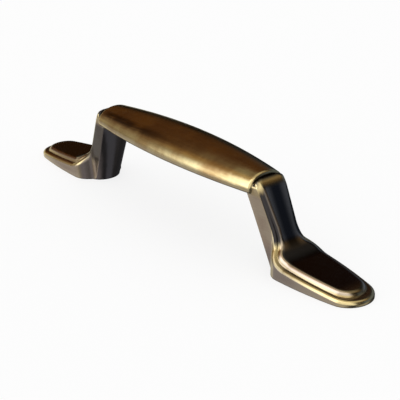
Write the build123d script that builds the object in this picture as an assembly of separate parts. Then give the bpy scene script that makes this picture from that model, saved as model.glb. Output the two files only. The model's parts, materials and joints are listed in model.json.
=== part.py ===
from build123d import *
import math
import os

# Bow handle for a cabinet door or drawer, cast in one piece.
# X runs along the handle, Y across it, Z away from the door, and the origin is
# on the door's face, midway between the two screw holes. Sizes are millimetres.

# Fixing
hole_spacing = 76.2
tap_drill_diameter = 3.45
tap_depth = 4.2
drill_point_angle = 118.0

# Overall: the grip's end and the toe's tip are placed from the screw between them
grip_to_screw = 7.3
screw_to_toe = 25.4
projection = 22.6

# Grip: a barrel-shaped bar with a crowned top, a flat back and a lip at each end
grip_mid_width = 15.2
grip_end_width = 9.9
grip_end_thickness = 4.5
grip_end_drop = 1.5
grip_back_rise = 0.3
grip_edge_radius = 1.2
lip_radius = 0.7

# Side view of an end, drawn on the raised panel: shoulder, leaning leg, bend and foot
shoulder_setback = 1.7
shoulder_radius = 5.4
leg_lean = 24.0
panel_bend_radius = 8.0
land_bend_radius = 7.0
foot_slope = 5.7
toe_height = 1.25

# The raised panel stands this far above the land around it
leg_step = 0.5
foot_step = 1.1
groove_width = 0.6
groove_depth = 1.1

# Inner side of the leg: it swells in the middle, more at the heel than at the crook
crook_setback = 3.0
crook_swell = 1.1
heel_setback = 4.2
heel_swell = 3.0
heel_half = 4.2

# Plan of an end, drawn square to the foot: tapered leg, neck, flare, side and round toe
land_setback = 3.1
shoulder_inset = 0.65
land_leg_taper = 5.0
foot_half = 6.8
screw_to_widest = 3.2
neck_radius = 2.4
flare_radius = 5.0
toe_radius = 5.5
land_edge_radius = 0.9

# The raised panel keeps this border of land around it and has a slimmer leg
side_border = 1.2
toe_border = 2.2
panel_leg_taper = 10.0
panel_edge_radius = 1.3
panel_end_radius = 0.4
panel_crown_drop = 0.3

margin = 1.0
screw_x = hole_spacing / 2
grip_length = hole_spacing - 2 * grip_to_screw
overall_length = hole_spacing + 2 * screw_to_toe
grip_end_height = projection - grip_end_drop
grip_back_height = grip_end_height - grip_end_thickness
land_start_x = grip_length / 2 - land_setback
panel_start_x = grip_length / 2 + groove_width
shoulder_turn = 90.0 - leg_lean
shoulder_centre = Vector(grip_length / 2 - shoulder_setback, grip_end_height - shoulder_radius)


def outward(turn):
    """Unit vector square to the panel where it has turned this far from the grip's top."""
    return Vector(math.sin(math.radians(turn)), math.cos(math.radians(turn)))


def bend_centre(leg_inset, foot_inset, radius):
    """Centre of the bend: one radius off the leg's face and one off the foot's face."""
    leg_normal = outward(shoulder_turn)
    foot_normal = outward(foot_slope)
    leg_offset = leg_normal.dot(shoulder_centre) + shoulder_radius - leg_inset + radius
    foot_offset = foot_normal.dot(Vector(overall_length / 2, toe_height)) + foot_step - foot_inset + radius
    det = leg_normal.X * foot_normal.Y - leg_normal.Y * foot_normal.X
    x = (leg_offset * foot_normal.Y - foot_offset * leg_normal.Y) / det
    z = (leg_normal.X * foot_offset - foot_normal.X * leg_offset) / det
    return Vector(x, z)


def side_view(leg_inset, foot_inset, radius):
    """Solid as wide as the foot, bounded by the panel's side view moved inwards."""
    bend = bend_centre(leg_inset, foot_inset, radius)
    over = shoulder_radius - leg_inset
    shoulder_top = shoulder_centre + outward(0) * over
    shoulder_mid = shoulder_centre + outward(shoulder_turn / 2) * over
    leg_top = shoulder_centre + outward(shoulder_turn) * over
    leg_foot = bend - outward(shoulder_turn) * radius
    bend_mid = bend - outward((shoulder_turn + foot_slope) / 2) * radius
    foot_start = bend - outward(foot_slope) * radius
    end_x = overall_length / 2 + margin
    end = Vector(end_x, foot_start.Y - (end_x - foot_start.X) * math.tan(math.radians(foot_slope)))
    start_x = land_start_x - margin
    outline = Line((start_x, shoulder_top.Y), shoulder_top)
    outline += ThreePointArc(shoulder_top, shoulder_mid, leg_top)
    outline += Line(leg_top, leg_foot)
    outline += ThreePointArc(leg_foot, bend_mid, foot_start)
    outline += Line(foot_start, end)
    outline += Polyline(end, (end_x, 0), (start_x, 0), (start_x, shoulder_top.Y))
    return extrude(Plane.XZ * make_face(outline), amount=foot_half + margin, both=True)


def crown(half, drop):
    """Solid along the whole end under an arch like the grip's, this much lower."""
    base = grip_back_height + grip_edge_radius
    height = grip_end_height - drop - base
    wide = foot_half + margin
    arch = EllipticalCenterArc((0, base), half, height, start_angle=0, arc_size=180)
    arch += Line((-half, base), (half, base))
    block = Polyline((-wide, 0), (wide, 0), (wide, base), (-wide, base), (-wide, 0))
    outline = make_face(arch) + make_face(block)
    return extrude(Plane.YZ * outline, amount=overall_length)


def toe_reach():
    """Distance down the foot's slope from under the screw to the land's tip.

    The toe's wall leans out by the slope, and its rounding takes some of that back.
    """
    slope = math.radians(foot_slope)
    lean = land_edge_radius * (math.cos(slope) + math.sin(slope) - 1)
    return (screw_to_toe + lean) * math.cos(slope) - toe_height * math.sin(slope)


def plan_view(start_x, border, tip_border, leg_taper):
    """Solid bounded by the plan of the land or the panel, with walls square to the foot.

    The plan's origin is under the screw. Its leg starts a little slimmer than the
    grip's end and narrows in a straight line. The rest is four arcs, each tangent
    to the next.
    """
    slope = math.radians(foot_slope)
    taper = math.radians(leg_taper)
    root = Vector(-grip_to_screw * math.cos(slope) - grip_end_height * math.sin(slope),
                  grip_end_width / 2 - shoulder_inset)
    widest = Vector(screw_to_widest, foot_half - border)
    end_radius = toe_radius - border
    tip = Vector(toe_reach() - tip_border, 0)
    toe_centre = tip - Vector(end_radius, 0)
    side_length = toe_centre.X - widest.X
    side_radius = (side_length ** 2 + widest.Y ** 2 - end_radius ** 2) / (widest.Y - end_radius) / 2
    side_centre = widest - Vector(0, side_radius)
    toe_start = toe_centre + (toe_centre - side_centre).normalized() * end_radius
    # The flare ends at the widest point, and the neck lies between it and the leg's line.
    flare = flare_radius - border
    neck = neck_radius + border
    flare_centre = widest - Vector(0, flare)
    along = Vector(math.cos(taper), -math.sin(taper))
    across = Vector(math.sin(taper), math.cos(taper))
    beside = neck - across.dot(flare_centre - root)
    neck_centre = flare_centre + across * beside - along * math.sqrt((neck + flare) ** 2 - beside ** 2)
    neck_start = neck_centre - across * neck
    neck_end = neck_centre + (flare_centre - neck_centre).normalized() * neck
    start = neck_start - along * overall_length / 4
    neck_arc = TangentArc(neck_start, neck_end, tangent=along)
    side_arc = TangentArc(widest, toe_start, tangent=(1, 0))
    half = Line(start, neck_start) + neck_arc
    half += TangentArc(neck_end, widest, tangent=neck_arc % 1)
    half += side_arc
    half += TangentArc(toe_start, tip, tangent=side_arc % 1)
    outline = make_face(half + mirror(half, about=Plane.XZ) + Line(start, (start.X, -start.Y)))
    plane = Plane(origin=(screw_x, 0, 0), x_dir=(math.cos(slope), 0, -math.sin(slope)),
                  z_dir=(math.sin(slope), 0, math.cos(slope)))
    solid = extrude(plane * outline, amount=2 * projection, both=True)
    beyond = Box(overall_length, overall_length, 2 * projection, align=(Align.MIN, Align.CENTER, Align.MIN))
    return solid & Pos(start_x, 0, 0) * beyond


def rounded(solid, edge_radius):
    """Round the upper edge along both sides of an end, but not at its start or under it."""
    near = 0.01
    start = solid.bounding_box().min.X + near
    upper = [edge for edge in solid.edges() if edge.bounding_box().min.Z > near]
    sides = [edge for edge in upper if abs(edge.center().Y) > near]
    return fillet([edge for edge in sides if edge.bounding_box().max.X > start], edge_radius)


def gap_section(height, x, swell, half):
    """Section of the space inside the leg, which swells into it by this much."""
    corner_x = x + swell
    far = overall_length
    outline = ThreePointArc((corner_x, half), (x, 0), (corner_x, -half))
    outline += Polyline((corner_x, -half), (corner_x, -far), (-far, -far), (-far, far),
                        (corner_x, far), (corner_x, half))
    return Pos(0, 0, height) * make_face(outline)


def grip_section(x):
    """D section of the grip: flat back, rounded back edges and a crown."""
    share = (2 * x / grip_length) ** 2
    half = (grip_mid_width + (grip_end_width - grip_mid_width) * share) / 2
    back = grip_back_height + grip_back_rise * (1 - share)
    crown = projection - grip_end_drop * share - back - grip_edge_radius
    edge = grip_edge_radius
    low = edge * (1 - math.cos(math.radians(45)))
    outline = Line((-half + edge, 0), (half - edge, 0))
    outline += ThreePointArc((half - edge, 0), (half - low, low), (half, edge))
    outline += EllipticalCenterArc((0, edge), half, crown, start_angle=0, arc_size=180)
    outline += ThreePointArc((-half, edge), (-half + low, low), (-half + edge, 0))
    return Plane(origin=(x, 0, back), x_dir=(0, 1, 0), z_dir=(1, 0, 0)) * make_face(outline)


def grip():
    """The bar between the legs, with a rounded lip round each end."""
    bar = loft([grip_section(x) for x in (-grip_length / 2, 0, grip_length / 2)])
    ends = bar.faces().sort_by(Axis.X)
    rims = [edge for face in (ends[0], ends[-1]) for edge in face.edges()]
    return fillet(rims, lip_radius)


def end_casting():
    """The end on the +X side: leg, heel and foot, with the raised panel on them."""
    land = side_view(leg_step, foot_step, land_bend_radius)
    land &= plan_view(land_start_x, 0, 0, land_leg_taper)
    land = rounded(land & crown(grip_end_width / 2, panel_crown_drop + groove_depth), land_edge_radius)
    panel = side_view(0, 0, panel_bend_radius)
    panel &= plan_view(panel_start_x, side_border, toe_border, panel_leg_taper)
    panel = rounded(panel & crown(grip_end_width / 2, panel_crown_drop), panel_edge_radius)
    end_face = panel.faces().sort_by(Axis.X)[0]
    upper = [edge for edge in end_face.edges() if edge.bounding_box().min.Z > grip_back_height]
    panel = fillet(upper, panel_end_radius)
    gap = loft([gap_section(0, screw_x - heel_setback, heel_swell, heel_half),
                gap_section(grip_back_height + grip_edge_radius, grip_length / 2 - crook_setback,
                            crook_swell, grip_end_width / 2)], ruled=True)
    return land + panel - gap


def screw_hole():
    """Blind hole at tapping size, with the drill's point at its end."""
    radius = tap_drill_diameter / 2
    point_height = radius / math.tan(math.radians(drill_point_angle / 2))
    hole = Cylinder(radius, tap_depth, align=(Align.CENTER, Align.CENTER, Align.MIN))
    point = Cone(radius, 0, point_height, align=(Align.CENTER, Align.CENTER, Align.MIN))
    hole += Pos(0, 0, tap_depth) * point
    return hole


def handle():
    """Grip and two ends as one casting, drilled for the screws."""
    end = end_casting()
    casting = grip() + end + mirror(end, about=Plane.YZ)
    for x in (-screw_x, screw_x):
        casting -= Pos(x, 0, 0) * screw_hole()
    return casting


os.makedirs("parts", exist_ok=True)
casting = handle()
export_step(casting, "parts/handle.step")
size = casting.bounding_box().size
print("handle", round(size.X, 2), round(size.Y, 2), round(size.Z, 2), "volume", round(casting.volume))
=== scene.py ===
import json
import math

import bmesh
import bpy
from mathutils import Matrix, Vector


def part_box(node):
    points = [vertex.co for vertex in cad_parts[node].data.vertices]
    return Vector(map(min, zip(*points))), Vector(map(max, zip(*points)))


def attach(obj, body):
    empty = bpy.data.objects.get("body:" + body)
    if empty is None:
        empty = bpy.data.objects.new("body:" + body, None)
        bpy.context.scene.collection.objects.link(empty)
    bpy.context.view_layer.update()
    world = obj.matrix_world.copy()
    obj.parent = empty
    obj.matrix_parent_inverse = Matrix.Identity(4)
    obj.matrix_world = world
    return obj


# %% [markdown]
# # A cast bow handle in antique brass
#
# The real thing is one casting: a barrel-shaped grip that runs into two leaning
# legs, and each leg bends out into a flat leaf-shaped foot with a raised panel.
# Its shape was made as a solid beforehand, so this lesson is about the finish
# and the light. A dark, glossy metal shows almost nothing but its surroundings,
# and most of the work is to give it the right things to reflect.

# %% Load the frame
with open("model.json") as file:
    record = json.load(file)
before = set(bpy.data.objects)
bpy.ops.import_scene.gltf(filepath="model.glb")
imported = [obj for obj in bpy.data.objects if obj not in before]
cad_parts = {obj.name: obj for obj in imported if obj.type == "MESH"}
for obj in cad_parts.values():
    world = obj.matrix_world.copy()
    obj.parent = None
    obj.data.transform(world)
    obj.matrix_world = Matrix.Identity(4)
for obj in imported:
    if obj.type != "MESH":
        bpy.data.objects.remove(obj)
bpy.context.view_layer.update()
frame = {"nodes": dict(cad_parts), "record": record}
handle = frame["nodes"]["handle"]
low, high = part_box("handle")
print("handle from", [round(v * 1000, 1) for v in low], "to", [round(v * 1000, 1) for v in high], "mm")

# %% [markdown]
# ## A node tree in a few words
#
# Materials here are node trees built in code, and a few helpers keep the cells
# short. The first adds a node with its settings and inputs: a number goes
# straight on a socket, and a socket given as a value is linked. The others do
# sums, turn a measure into a soft mask from 0 to 1, and combine masks.

# %% Helpers for node trees
def feed(tree, socket, value):
    if isinstance(value, bpy.types.NodeSocket):
        tree.links.new(value, socket)
    else:
        socket.default_value = value


def add_node(tree, kind, settings=None, **inputs):
    """An input goes by its name, with _ for a space, or by its place, as in_0, in_1 and so on."""
    node = tree.nodes.new(kind)
    for name, value in (settings or {}).items():
        setattr(node, name, value)
    for name, value in inputs.items():
        key = int(name[3:]) if name.startswith("in_") else name.replace("_", " ")
        feed(tree, node.inputs[key], value)
    return node


def maths(tree, operation, *values):
    node = add_node(tree, "ShaderNodeMath", {"operation": operation})
    for socket, value in zip(node.inputs, values):
        feed(tree, socket, value)
    return node.outputs["Value"]


def window(tree, value, start, full):
    """0 at start and 1 at full, with soft ends; start may be the larger one."""
    rising = start < full
    node = add_node(tree, "ShaderNodeMapRange", {"interpolation_type": "SMOOTHSTEP"}, Value=value,
                    From_Min=min(start, full), From_Max=max(start, full),
                    To_Min=0.0 if rising else 1.0, To_Max=1.0 if rising else 0.0)
    return node.outputs["Result"]


def all_of(tree, *masks):
    total = masks[0]
    for mask in masks[1:]:
        total = maths(tree, "MULTIPLY", total, mask)
    return total


def most_of(tree, *masks):
    total = masks[0]
    for mask in masks[1:]:
        total = maths(tree, "MAXIMUM", total, mask)
    return total


# %% [markdown]
# ## What time does to brass
#
# The finish is brass plate that was darkened in a bath and then rubbed back.
# The bath leaves brown clouds a few millimetres wide, and the rubbing leaves
# fine lines that follow the length of the handle. Photographs of metal could be
# laid over the surface for this, but they would stretch round the bends. Noise
# in the object's own coordinates has no seams, so both effects go into a node
# group, with the size of the clouds and the strength of the lines as inputs.
# What comes out is how brown, how rough and how high the metal is at a point,
# and a mask that breaks a dark band up into patches.

# %% Node group: clouds and rubbing lines
cloud_window = (0.38, 0.62)
patch_window = (0.20, 0.60)
cloud_darkening = 0.75
line_stretch = (60.0, 1900.0, 1900.0)
grain_scale = 2600.0
grain_height = 0.25
plain_roughness, cloud_roughness, line_roughness = 0.15, 0.07, 0.10


def make_patina_group():
    group = bpy.data.node_groups.new("patina", "ShaderNodeTree")
    group.interface.new_socket("Position", in_out="INPUT", socket_type="NodeSocketVector")
    for name, usual in (("Cloud Scale", 120.0), ("Line Strength", 0.5)):
        group.interface.new_socket(name, in_out="INPUT", socket_type="NodeSocketFloat").default_value = usual
    for name in ("Darkening", "Roughness", "Height", "Patches"):
        group.interface.new_socket(name, in_out="OUTPUT", socket_type="NodeSocketFloat")
    start = group.nodes.new("NodeGroupInput")
    end = group.nodes.new("NodeGroupOutput")
    clouds = add_node(group, "ShaderNodeTexNoise", Vector=start.outputs["Position"],
                      Scale=start.outputs["Cloud Scale"], Detail=3.0, Roughness=0.55)
    stretched = add_node(group, "ShaderNodeMapping", Vector=start.outputs["Position"], Scale=line_stretch)
    lines = add_node(group, "ShaderNodeTexNoise", Vector=stretched.outputs["Vector"], Scale=1.0, Detail=2.0)
    grain = add_node(group, "ShaderNodeTexNoise", Vector=start.outputs["Position"], Scale=grain_scale, Detail=1.0)
    cloud_tone = window(group, clouds.outputs["Fac"], *cloud_window)
    centred_lines = maths(group, "SUBTRACT", lines.outputs["Fac"], 0.5)
    line_tone = maths(group, "MULTIPLY", centred_lines, start.outputs["Line Strength"])
    results = {
        "Darkening": maths(group, "MULTIPLY_ADD", cloud_tone, cloud_darkening, line_tone),
        "Roughness": maths(group, "MULTIPLY_ADD", cloud_tone, cloud_roughness,
                           maths(group, "MULTIPLY_ADD", line_tone, line_roughness, plain_roughness)),
        "Height": maths(group, "MULTIPLY_ADD", grain.outputs["Fac"], grain_height, line_tone),
        "Patches": window(group, maths(group, "ADD", clouds.outputs["Fac"], line_tone), *patch_window),
    }
    for name, socket in results.items():
        group.links.new(socket, end.inputs[name])
    print("patina group has", len(group.nodes), "nodes and gives", ", ".join(results))
    return group


patina = make_patina_group()

# %% [markdown]
# ## Where light and shade are painted
#
# The panels, the fronts of the legs and the flat land of the feet are painted
# black for the dark studio that they mirror. The groove behind the grip's lip,
# the steps and the space between the legs get painted shade, the knuckles a
# painted highlight, and the sloping sides and walls a painted pale reflection.
#
# A mask for this could be painted by hand, but it is lost when the shape
# changes, so it is measured instead. The land of a foot and the front of a leg
# are two tilted planes joined by a bend. The distance over them, with a smooth
# minimum for the bend, tells land from panel anywhere on the end. The other
# measures are a point's place on the handle and the way that its surface faces.

# %% Measures on the surface
# Lengths are in metres and slopes in degrees down to the end of the handle.
foot_slope = 5.7
toe_top = (0.0635, 0.00125)
leg_slope = 66.0
leg_top = (0.03357, 0.0177)
bend_reach = 0.0057
knuckle_rounding = 0.0018


def distance_over(tree, along, up, slope, point):
    """Distance from the plane with that slope through a point, given as along and up."""
    sine, cosine = math.sin(math.radians(slope)), math.cos(math.radians(slope))
    offset = -(point[0] * sine + point[1] * cosine)
    return maths(tree, "MULTIPLY_ADD", along, sine, maths(tree, "MULTIPLY_ADD", up, cosine, offset))


def measure_surface(tree, place):
    x, y, up = add_node(tree, "ShaderNodeSeparateXYZ", Vector=place.outputs["Object"]).outputs
    ahead, across, upright = add_node(tree, "ShaderNodeSeparateXYZ", Vector=place.outputs["Normal"]).outputs
    along = maths(tree, "ABSOLUTE", x)
    sideways = maths(tree, "ABSOLUTE", across)
    over_foot = distance_over(tree, along, up, foot_slope, toe_top)
    over_leg = distance_over(tree, along, up, leg_slope, leg_top)
    return {
        "x": x, "along": along, "off centre": maths(tree, "ABSOLUTE", y), "up": up,
        "over land": maths(tree, "SMOOTH_MIN", over_foot, over_leg, bend_reach),
        "up the knuckle": maths(tree, "MULTIPLY_ADD", sideways, knuckle_rounding, up),
        "faces outwards": maths(tree, "MULTIPLY", ahead, maths(tree, "SIGN", x)),
        "faces across": across, "faces sideways": sideways, "faces up": upright,
    }


print("land slopes", foot_slope, "degrees on the feet and", leg_slope, "on the legs")

# %% [markdown]
# ## Regions of the surface
#
# A region is a product of windows. Each window names a measure, the value at
# which it starts and the value at which it is full, so a fade is as wide as the
# two are apart. Lengths are in metres, and a surface faces a direction by -1 to
# 1. Most regions are the same on both ends. Three are not: the far leg and the
# heel of the near foot are darker, and a dark band runs along the far half of
# the grip, so those three are tied to one end by x.

# %% Regions of the surface
regions = {
    "beyond grip": [("along", 0.0311, 0.0316)],
    "below knuckle": [("up the knuckle", 0.0204, 0.0182)],
    "short of toe": [("along", 0.0650, 0.0570)],
    "on leg": [("up", 0.0055, 0.0075)],
    "raised": [("over land", 0.0002, 0.0006)],
    "on land": [("over land", 0.0006, 0.0002)],
    "level": [("faces up", 0.93, 0.985)],
    "faces mostly up": [("faces sideways", 0.45, 0.20)],
    "leans sideways": [("faces sideways", 0.20, 0.45)],
    "off the walls": [("faces sideways", 0.97, 0.88)],
    "leg flank": [("up", 0.0055, 0.0075), ("off centre", 0.0006, 0.0028)],
    "walls": [("faces sideways", 0.90, 0.98), ("up", 0.0172, 0.0160)],
    "inner side": [("faces outwards", -0.20, -0.60), ("up", 0.0172, 0.0160)],
    "beside groove": [("along", 0.0306, 0.0310), ("along", 0.0330, 0.0318), ("up", 0.0160, 0.0172),
                      ("faces sideways", 0.95, 0.80)],
    "far leg": [("x", -0.0260, -0.0280), ("along", 0.0420, 0.0395), ("up", 0.0040, 0.0065),
                ("up", 0.0172, 0.0160)],
    "near heel": [("x", 0.0300, 0.0340), ("x", 0.0600, 0.0390), ("up", 0.0065, 0.0030)],
    "far_grip_band": [("x", -0.0310, -0.0260), ("x", 0.0060, -0.0140), ("up", 0.0185, 0.0195),
               ("faces across", -0.30, -0.46), ("faces across", -0.74, -0.56)],
}
print(len(regions), "regions from", sum(len(windows) for windows in regions.values()), "windows")

# %% [markdown]
# ## From regions to four masks
#
# The painted black is whole on the panels and in front of the legs, where it
# stands in for dark reflections, and beside the groove and under the grip, where
# it is painted shade. It is thinner on the far leg and the near heel, which are
# darker, and on the flat land, where it is painted dark reflection. A pale grey
# on sloping sides and walls is a painted pale reflection, and the knuckles get a
# painted highlight.

# %% Masks of painted light and shade
far_leg_black = 0.85
land_black = 0.65
leg_pale_cut = 0.30
wall_pale_share = 0.5
inner_pale_share = 0.4


def colour_masks(tree, place):
    """Painted black and shade, painted pale reflection, the knuckle tops for a painted highlight and the dark far
    grip band, each from 0 to 1.
    """
    measures = measure_surface(tree, place)
    part = {name: all_of(tree, *(window(tree, measures[measure], start, full) for measure, start, full in windows))
            for name, windows in regions.items()}
    beyond_grip, below_knuckle, on_leg = part["beyond grip"], part["below knuckle"], part["on leg"]
    panel_top = all_of(tree, part["raised"], part["faces mostly up"])
    leg_front = all_of(tree, on_leg, part["off the walls"])
    # Painted black for the dark reflections of the panel tops and the leg fronts.
    ends = all_of(tree, most_of(tree, panel_top, leg_front), beyond_grip, below_knuckle, part["short of toe"])
    flat_land = all_of(tree, beyond_grip, part["on land"], part["level"])
    # Painted shade beside the groove and on the inner sides under the grip, plus the darker far leg and near heel,
    # and painted dark reflection on the flat land.
    black_and_painted_shade = most_of(tree, ends, part["beside groove"], part["inner side"],
                    all_of(tree, part["far leg"], far_leg_black),
                    all_of(tree, most_of(tree, part["near heel"], flat_land), land_black))
    # Painted pale reflection on the sloping panel sides and on the walls.
    panel_sides = all_of(tree, part["raised"], most_of(tree, part["leans sideways"], part["leg flank"]),
                         beyond_grip, below_knuckle, maths(tree, "MULTIPLY_ADD", on_leg, -leg_pale_cut, 1.0))
    walls = all_of(tree, part["walls"], maths(tree, "MULTIPLY_ADD", part["far leg"], -wall_pale_share, wall_pale_share))
    pale_reflection = most_of(tree, panel_sides, walls, all_of(tree, part["inner side"], inner_pale_share))
    # Painted highlight on the knuckle tops.
    knuckle = all_of(tree, beyond_grip, maths(tree, "SUBTRACT", 1.0, below_knuckle))
    print("skin masks: black, worn, knuckle and smudge, with", len(tree.nodes), "nodes so far")
    return black_and_painted_shade, pale_reflection, knuckle, part["far_grip_band"]


# %% [markdown]
# ## Antique brass
#
# Brass reflects red and green well and blue badly, so even a white lamp comes
# back yellow. The painted black sends back little of anything and stands in for
# dark reflections and shade, and the painted pale grey looks like pewter.
#
# Three more masks come from the Ambient Occlusion node. It tells how open the
# space round a point is, up to a set distance. A low value shows up steps and
# grooves, which get painted shade, brown in the steps and black in the grooves.
# With Inside on it looks through the metal, and a low value shows up edges,
# where the wheel cut to bright brass.
#
# The small roundings of the solid are only a few facets wide. The Bevel node
# averages the normals within half a millimetre, which takes the machined look
# off the rims without touching the mesh, and the grain is added to that. A clear
# lacquer keeps the handle from changing further. That is a thin layer with its
# own, whiter reflection, which the shader calls a coat.

# %% Finish of the brass
rubbed_brass = (0.72, 0.635, 0.365, 1.0)
# bright_brass is worn edges and also the painted highlight on the knuckles.
bright_brass = (0.82, 0.71, 0.42, 1.0)
# brown_brass is the patina's brown and also the painted shade in the steps.
brown_brass = (0.38, 0.23, 0.085, 1.0)
# The dark brown of the band on the far half of the grip.
far_band_brown = (0.10, 0.070, 0.050, 1.0)
# A painted pale reflection on sloping sides and walls.
pale_reflection_grey = (0.57, 0.50, 0.45, 1.0)
# Painted black for dark reflections and painted shade, also used for the darker far leg and near heel.
shade_and_dark_black = (0.030, 0.029, 0.036, 1.0)
recess_width = 0.0011
edge_width = 0.0016
edge_rounding = 0.0005
# The step and groove windows paint shade into recesses.
step_window = (0.80, 0.42)
groove_window = (0.42, 0.20)
edge_window = (0.97, 0.70)
bright_share = 0.8
ray_samples = 12
cloud_scale = 95.0
line_strength = 0.6
grain_depth = 0.00002
grain_strength = 0.12


def mix_colour(tree, factor, first, second):
    node = add_node(tree, "ShaderNodeMix", {"data_type": "RGBA"}, Factor=factor)
    for name, value in (("A", first), ("B", second)):
        feed(tree, next(item for item in node.inputs if item.name == name and item.type == "RGBA"), value)
    return next(item for item in node.outputs if item.type == "RGBA")


def openness(tree, distance, inside=False):
    settings = {"samples": ray_samples, "only_local": True, "inside": inside}
    return add_node(tree, "ShaderNodeAmbientOcclusion", settings, Distance=distance).outputs["AO"]


print("colours of the finish, in red, green and blue:", rubbed_brass[:3], brown_brass[:3], pale_reflection_grey[:3])

# %% Material: antique brass
def make_antique_brass():
    material = bpy.data.materials.new("antique_brass")
    material.use_nodes = True
    tree = material.node_tree
    tree.nodes.clear()
    place = add_node(tree, "ShaderNodeTexCoord")
    rubbing = add_node(tree, "ShaderNodeGroup", {"node_tree": patina}, Position=place.outputs["Object"],
                       Cloud_Scale=cloud_scale, Line_Strength=line_strength).outputs
    in_the_open = openness(tree, recess_width)
    in_thick_metal = openness(tree, edge_width, inside=True)
    black_and_painted_shade, pale_reflection, knuckle, far_grip_band = colour_masks(tree, place)
    # Painted shade: brown in the steps, black in the grooves.
    step = window(tree, in_the_open, *step_window)
    groove = window(tree, in_the_open, *groove_window)
    edge = window(tree, in_thick_metal, *edge_window)
    patina_and_step_shade = most_of(tree, rubbing["Darkening"], step)
    # The dark band on the far half of the grip, broken into patches.
    far_band_patches = all_of(tree, far_grip_band, rubbing["Patches"])
    # Worn edges, and the painted highlight on the knuckles.
    edge_wear_and_knuckle_highlight = all_of(tree, most_of(tree, edge, knuckle), bright_share)
    colour = mix_colour(tree, patina_and_step_shade, rubbed_brass, brown_brass)
    colour = mix_colour(tree, far_band_patches, colour, far_band_brown)
    colour = mix_colour(tree, edge_wear_and_knuckle_highlight, colour, bright_brass)
    # Painted black for dark reflections, and painted shade in the grooves.
    colour = mix_colour(tree, most_of(tree, black_and_painted_shade, groove), colour, shade_and_dark_black)
    # Painted pale reflection.
    colour = mix_colour(tree, pale_reflection, colour, pale_reflection_grey)
    soft_edges = add_node(tree, "ShaderNodeBevel", {"samples": ray_samples}, Radius=edge_rounding)
    bump = add_node(tree, "ShaderNodeBump", Height=rubbing["Height"], Strength=grain_strength,
                    Distance=grain_depth, Normal=soft_edges.outputs["Normal"])
    shader = add_node(tree, "ShaderNodeBsdfPrincipled", Metallic=1.0, Coat_Roughness=0.05, Coat_IOR=1.5,
                      Coat_Weight=0.4, Base_Color=colour, Roughness=rubbing["Roughness"],
                      Normal=bump.outputs["Normal"])
    add_node(tree, "ShaderNodeOutputMaterial", {"is_active_output": True}, Surface=shader.outputs["BSDF"])
    print("antique brass has", len(tree.nodes), "nodes")
    return material


antique_brass = make_antique_brass()
for slot in handle.material_slots:
    slot.material = antique_brass
print("handle has", len(handle.data.polygons), "facets and", len(handle.material_slots), "material slot")

# %% [markdown]
# ## The thread in the screw holes
#
# Each leg has a blind hole for a machine screw. The solid has a smooth wall at
# the size of the tapping drill. A thread is a ridge that climbs round the wall
# by one pitch each turn, so a small triangle is spun round the hole's axis and
# lifted as it goes. Cutting grooves with a boolean would give the same look
# for far more work.

# %% Piece: screw threads
inch = 0.0254
hole_radius = 0.001725
hole_depth = 0.0042
thread_pitch = inch / 32
turn_steps = 40
ridge_height = 0.00022
ridge_root = 0.00006
ridge_half_width = thread_pitch * 0.4
half_turns = math.floor((hole_depth - 2 * thread_pitch) / thread_pitch * 2)


def make_thread(name, x):
    mesh = bmesh.new()
    outer, inner = hole_radius + ridge_root, hole_radius - ridge_height
    corners = [mesh.verts.new((radius, 0, thread_pitch + rise)) for radius, rise in
               ((outer, -ridge_half_width), (inner, 0), (outer, ridge_half_width))]
    profile = [mesh.edges.new((corners[i], corners[(i + 1) % 3])) for i in range(3)]
    bmesh.ops.spin(mesh, geom=corners + profile, cent=(0, 0, 0), axis=(0, 0, 1), angle=half_turns * math.pi,
                   steps=half_turns * turn_steps // 2, dvec=(0, 0, thread_pitch / turn_steps), use_merge=False)
    bmesh.ops.holes_fill(mesh, edges=[edge for edge in mesh.edges if edge.is_boundary], sides=3)
    bmesh.ops.translate(mesh, verts=mesh.verts, vec=(x, 0, 0))
    bmesh.ops.recalc_face_normals(mesh, faces=mesh.faces)
    data = bpy.data.meshes.new(name)
    mesh.to_mesh(data)
    mesh.free()
    data.materials.append(antique_brass)
    thread = bpy.data.objects.new(name, data)
    bpy.context.scene.collection.objects.link(thread)
    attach(thread, "root")
    print(name, "has", len(data.polygons), "faces and", half_turns / 2, "turns")


for mount in frame["record"]["mounts"]:
    if mount["kind"] == "threaded_hole":
        make_thread(mount["name"].replace("hole", "thread"), mount["pos_m"][0])

# %% [markdown]
# ## The floor
#
# The handle lies on a plain pale sheet that is lit from below as well, as a
# product table is, so only a faint shadow is left under the feet. The metal
# doesn't mirror it: what it mirrors comes from the studio in the next step. Its
# back face is clear, so that the underside of the handle can be looked at too.

# %% Stage: the floor
floor_reach = 4.0
floor_grey = (0.20, 0.20, 0.20, 1.0)
floor_glow = 0.78
white = (1.0, 1.0, 1.0, 1.0)


def make_floor():
    mesh = bmesh.new()
    bmesh.ops.create_grid(mesh, x_segments=1, y_segments=1, size=floor_reach)
    data = bpy.data.meshes.new("floor")
    mesh.to_mesh(data)
    mesh.free()
    material = bpy.data.materials.new("pale_floor")
    material.use_nodes = True
    tree = material.node_tree
    tree.nodes.clear()
    sheet = add_node(tree, "ShaderNodeBsdfPrincipled", Base_Color=floor_grey, Roughness=1.0,
                     Specular_IOR_Level=0.0, Emission_Color=white, Emission_Strength=floor_glow)
    clear = add_node(tree, "ShaderNodeBsdfTransparent")
    side = add_node(tree, "ShaderNodeNewGeometry")
    mixed = add_node(tree, "ShaderNodeMixShader", in_0=side.outputs["Backfacing"],
                     in_1=sheet.outputs["BSDF"], in_2=clear.outputs["BSDF"])
    add_node(tree, "ShaderNodeOutputMaterial", Surface=mixed.outputs["Shader"])
    data.materials.append(material)
    floor = bpy.data.objects.new("floor", data)
    floor.visible_glossy = False
    bpy.context.scene.collection.objects.link(floor)
    print("floor reaches", floor_reach, "m each way")


make_floor()

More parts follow.
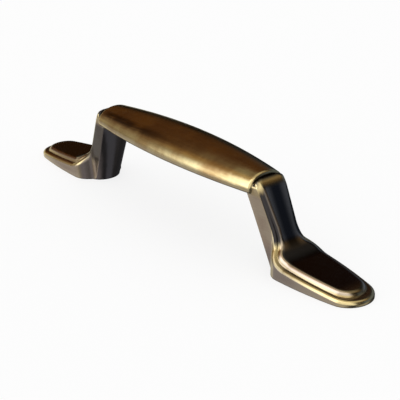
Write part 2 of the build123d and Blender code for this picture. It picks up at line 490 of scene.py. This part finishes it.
# %% [markdown]
# ## A studio in the mirror
#
# The room that the photograph was taken in can be read back from the metal. A
# tall soft box stands on the left, and a second lamp fills the space between it
# and the camera. Both show in the near side of the handle. The rest is dim: a
# warm wall at the back, a cool one on the right, a small warm lamp above that,
# which the knuckle picks up, the ceiling, and the table all round.
#
# Lamps would do it, but their edges come out hard in polished metal. Painted
# into the world instead, each light is a window in compass bearing and height
# whose edges are as soft as they need to be. Only mirrored rays see that room.
# The floor sees an even sky.

# %% Lights of the studio
# Four bearings and four heights in degrees: dark, full, full and dark again.
# Then the colour and the strength.
studio_lights = {
    "tall soft box on the left": ((-150, -122, -114, -86), (-16, 6, 54, 70), (1.0, 0.98, 0.95), 1.8),
    "glow on the wall beside it": ((-185, -145, -117, -106), (-20, 8, 16, 50), (1.0, 0.84, 0.60), 0.36),
    "warm wall above the glow": ((-178, -145, -117, -106), (22, 44, 58, 78), (1.0, 0.60, 0.22), 0.34),
    "low glow further back": ((-210, -192, -168, -154), (-12, 0, 4, 14), (1.0, 0.86, 0.56), 0.50),
    "second lamp by the camera": ((-112, -100, -30, 5), (-16, 6, 62, 80), (1.0, 0.94, 0.80), 1.1),
    "warm wall at the back": ((112, 150, 190, 215), (2, 20, 44, 60), (1.0, 0.34, 0.04), 0.085),
    "cool wall on the right": ((14, 36, 110, 140), (-15, 5, 25, 42), (0.66, 0.80, 1.0), 0.16),
    "warm lamp high on the right": ((36, 50, 70, 86), (30, 42, 56, 70), (1.0, 0.62, 0.20), 0.16),
    "table on the right": ((-20, 15, 44, 70), (-50, -38, -14, 0), (0.92, 0.85, 0.74), 0.28),
    "table under the grip": ((-22, 0, 34, 54), (-78, -66, -50, -40), (0.76, 0.82, 1.0), 0.14),
    "small window on the right": ((-36, -12, 8, 26), (3, 14, 24, 36), (1.0, 0.80, 0.55), 0.14),
    "table on the left": ((-205, -150, -75, -30), (-75, -42, -14, 0), (1.0, 0.93, 0.94), 0.38),
    "table at the back": ((135, 155, 185, 200), (-40, -25, -12, 0), (1.0, 0.90, 0.60), 0.5),
    "ceiling": ((-180, -179, 179, 180), (40, 74, 90, 91), (1.0, 0.86, 0.60), 0.62),
    "rest of the table": ((-180, -179, 179, 180), (-91, -90, -30, 0), (0.90, 0.92, 1.0), 0.05),
}
full_circle = 360
print("studio has", len(studio_lights), "lights")

# %% World: studio seen by the metal
def bearing_from(tree, x, y, middle):
    """Bearing counted from the light's own middle, so that it never wraps there."""
    cos, sin = math.cos(math.radians(middle)), math.sin(math.radians(middle))
    ahead = maths(tree, "ADD", maths(tree, "MULTIPLY", x, cos), maths(tree, "MULTIPLY", y, sin))
    aside = maths(tree, "SUBTRACT", maths(tree, "MULTIPLY", y, cos), maths(tree, "MULTIPLY", x, sin))
    return maths(tree, "DEGREES", maths(tree, "ARCTAN2", aside, ahead))


def band(tree, value, edges):
    return all_of(tree, window(tree, value, edges[0], edges[1]), window(tree, value, edges[3], edges[2]))


def make_studio():
    world = bpy.data.worlds.new("studio")
    bpy.context.scene.world = world
    world.use_nodes = True
    tree = world.node_tree
    tree.nodes.clear()
    place = add_node(tree, "ShaderNodeTexCoord")
    x, y, z = add_node(tree, "ShaderNodeSeparateXYZ", Vector=place.outputs["Generated"]).outputs
    height = maths(tree, "DEGREES", maths(tree, "ARCSINE", z))
    total = (0.0, 0.0, 0.0)
    for bearings, heights, colour, strength in studio_lights.values():
        amount = band(tree, height, heights)
        if bearings[3] - bearings[0] < full_circle:
            middle = (bearings[1] + bearings[2]) / 2
            from_middle = [bearing - middle for bearing in bearings]
            amount = all_of(tree, amount, band(tree, bearing_from(tree, x, y, middle), from_middle))
        light = add_node(tree, "ShaderNodeVectorMath", {"operation": "SCALE"}, in_0=colour,
                         Scale=all_of(tree, amount, strength))
        total = add_node(tree, "ShaderNodeVectorMath", {"operation": "ADD"}, in_0=total,
                         in_1=light.outputs["Vector"]).outputs["Vector"]
    room = add_node(tree, "ShaderNodeBackground", Color=total, Strength=1.0)
    sky = add_node(tree, "ShaderNodeBackground", Color=white, Strength=1.0)
    ray = add_node(tree, "ShaderNodeLightPath")
    mixed = add_node(tree, "ShaderNodeMixShader", in_0=ray.outputs["Is Glossy Ray"],
                     in_1=sky.outputs["Background"], in_2=room.outputs["Background"])
    add_node(tree, "ShaderNodeOutputWorld", Surface=mixed.outputs["Shader"])
    print("world has", len(tree.nodes), "nodes")


make_studio()

# %% [markdown]
# ## The camera
#
# The photograph was taken from a third of a metre away with a long lens. The
# bearing, height and roll were found by laying the solid's outline over the
# photograph's until they agreed.

# %% Camera
camera_bearing, camera_rise, camera_roll = (math.radians(angle) for angle in (54.225, 23.377, -3.105))
camera_target = Vector((0.007302, -0.001695, 0.007178))
camera_distance = 0.345
sensor_width = 36.0
focal_length = 3.606 * sensor_width


def make_camera():
    back = Vector((math.sin(camera_bearing) * math.cos(camera_rise),
                   -math.cos(camera_bearing) * math.cos(camera_rise), math.sin(camera_rise)))
    level = Vector((math.cos(camera_bearing), math.sin(camera_bearing), 0.0))
    upward = back.cross(level)
    right = math.cos(camera_roll) * level + math.sin(camera_roll) * upward
    up = math.cos(camera_roll) * upward - math.sin(camera_roll) * level
    data = bpy.data.cameras.new("camera")
    data.sensor_width = sensor_width
    data.sensor_fit = "HORIZONTAL"
    data.lens = focal_length
    data.clip_start = 0.01
    data.clip_end = 20.0
    camera = bpy.data.objects.new("camera", data)
    turn = Matrix((right, up, back)).transposed().to_4x4()
    camera.matrix_world = Matrix.Translation(camera_target + back * camera_distance) @ turn
    bpy.context.scene.collection.objects.link(camera)
    bpy.context.scene.camera = camera
    print("camera at", [round(v, 3) for v in camera.matrix_world.translation], "lens", round(data.lens, 1), "mm")


make_camera()
bpy.context.scene.view_settings.view_transform = "Standard"
